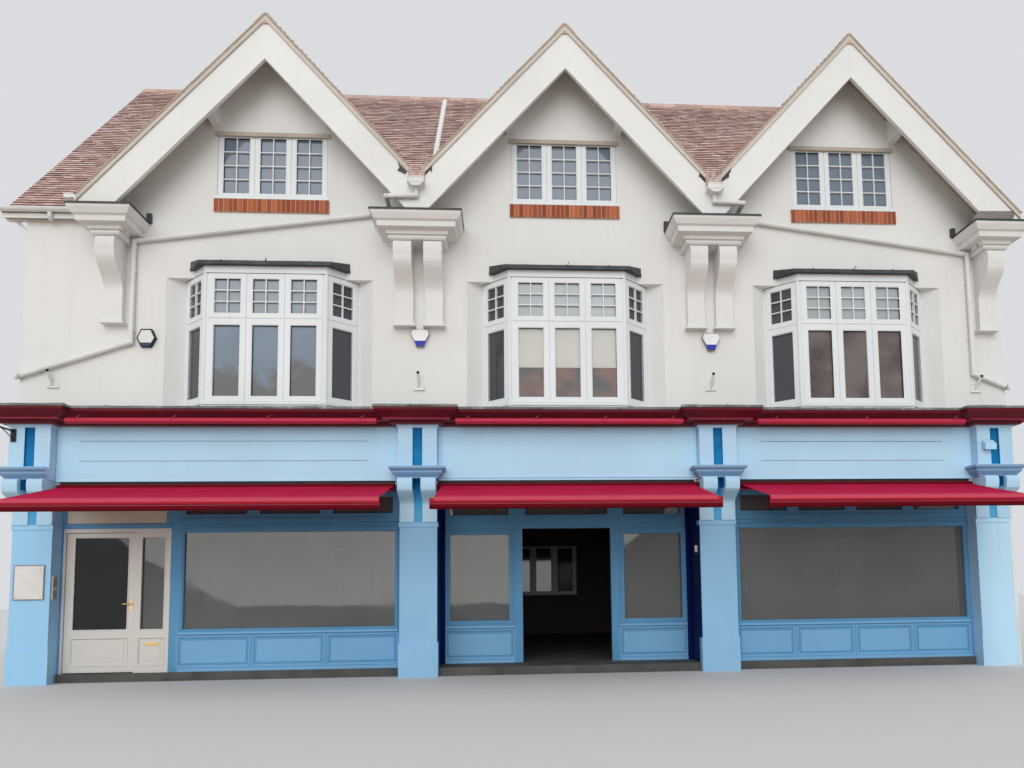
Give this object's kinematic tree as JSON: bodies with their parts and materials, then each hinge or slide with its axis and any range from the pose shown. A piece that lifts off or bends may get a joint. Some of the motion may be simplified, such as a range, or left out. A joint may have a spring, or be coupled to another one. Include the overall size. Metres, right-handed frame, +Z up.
{
  "type": "corner shop building",
  "caption": "Rendered house with front gables on big brackets, canted bay windows, and a blue timber shopfront with crimson awnings and a hinged side door.",
  "frame": {"origin": "on the ground under the middle of the whole building", "axes": "+X along the street front to the viewer's right, +Y from the street into the house, +Z up"},
  "size_m": [16.6, 10.885, 12.363],
  "materials": {
    "render": "matt",
    "white_paint": "satin",
    "blue_paint": "satin",
    "crimson_paint": "satin",
    "clay_tile": "matt",
    "brick": "matt",
    "lead": "matt",
    "glass": "gloss",
    "stone": "matt",
    "floor": "matt",
    "cloth": "matt",
    "blind": "matt",
    "crimson_metal": "satin",
    "white_plastic": "satin",
    "brass": "satin"
  },
  "bodies": {
    "building": {"ground_floor": "stone", "upper_floors": "floor", "left_wall": "render", "right_wall": "render", "back_wall": "render", "front_wall": "render", "shop_beam": "render", "shop_piers": "render", "pier_heads": "blue_paint", "pier_consoles": "blue_paint", "shop_fascias": "blue_paint", "shop_cornice": "crimson_paint", "cornice_lead": "lead", "trough_lights": "crimson_metal", "left_shopfront": "blue_paint", "middle_shopfront": "blue_paint", "right_shopfront": "blue_paint", "shop_glass": "glass", "doorsteps": "stone", "awnings": "cloth", "awning_frames": "crimson_metal", "bay_windows": "white_paint", "window_blinds": "blind", "attic_windows": "white_paint", "plain_windows": "white_paint", "window_glass": "glass", "brick_sills": "brick", "window_hoods": "render", "wall_consoles": "render", "entablature_blocks": "render", "lead_flats": "lead", "barge_boards": "white_paint", "purlin_ends": "white_paint", "gable_roofs": "clay_tile", "main_roof_front": "clay_tile", "main_roof_back": "clay_tile", "ridge_tiles": "clay_tile", "eaves_brackets": "white_paint", "gutters": "white_plastic", "rainwater_pipes": "white_plastic", "wall_fittings": "white_plastic", "side_door_frame": "white_paint"},
    "side_door": {"door_leaf": "white_paint", "door_glass": "glass", "door_handle": "brass"}
  },
  "joints": [
    {"name": "side_door_hinge", "type": "hinge", "parent": "building", "child": "side_door", "pos_m": [-7.248, -3.6045, 1.2], "axis": [0, 0, 1], "range_deg": [0, 90]}
  ]
}
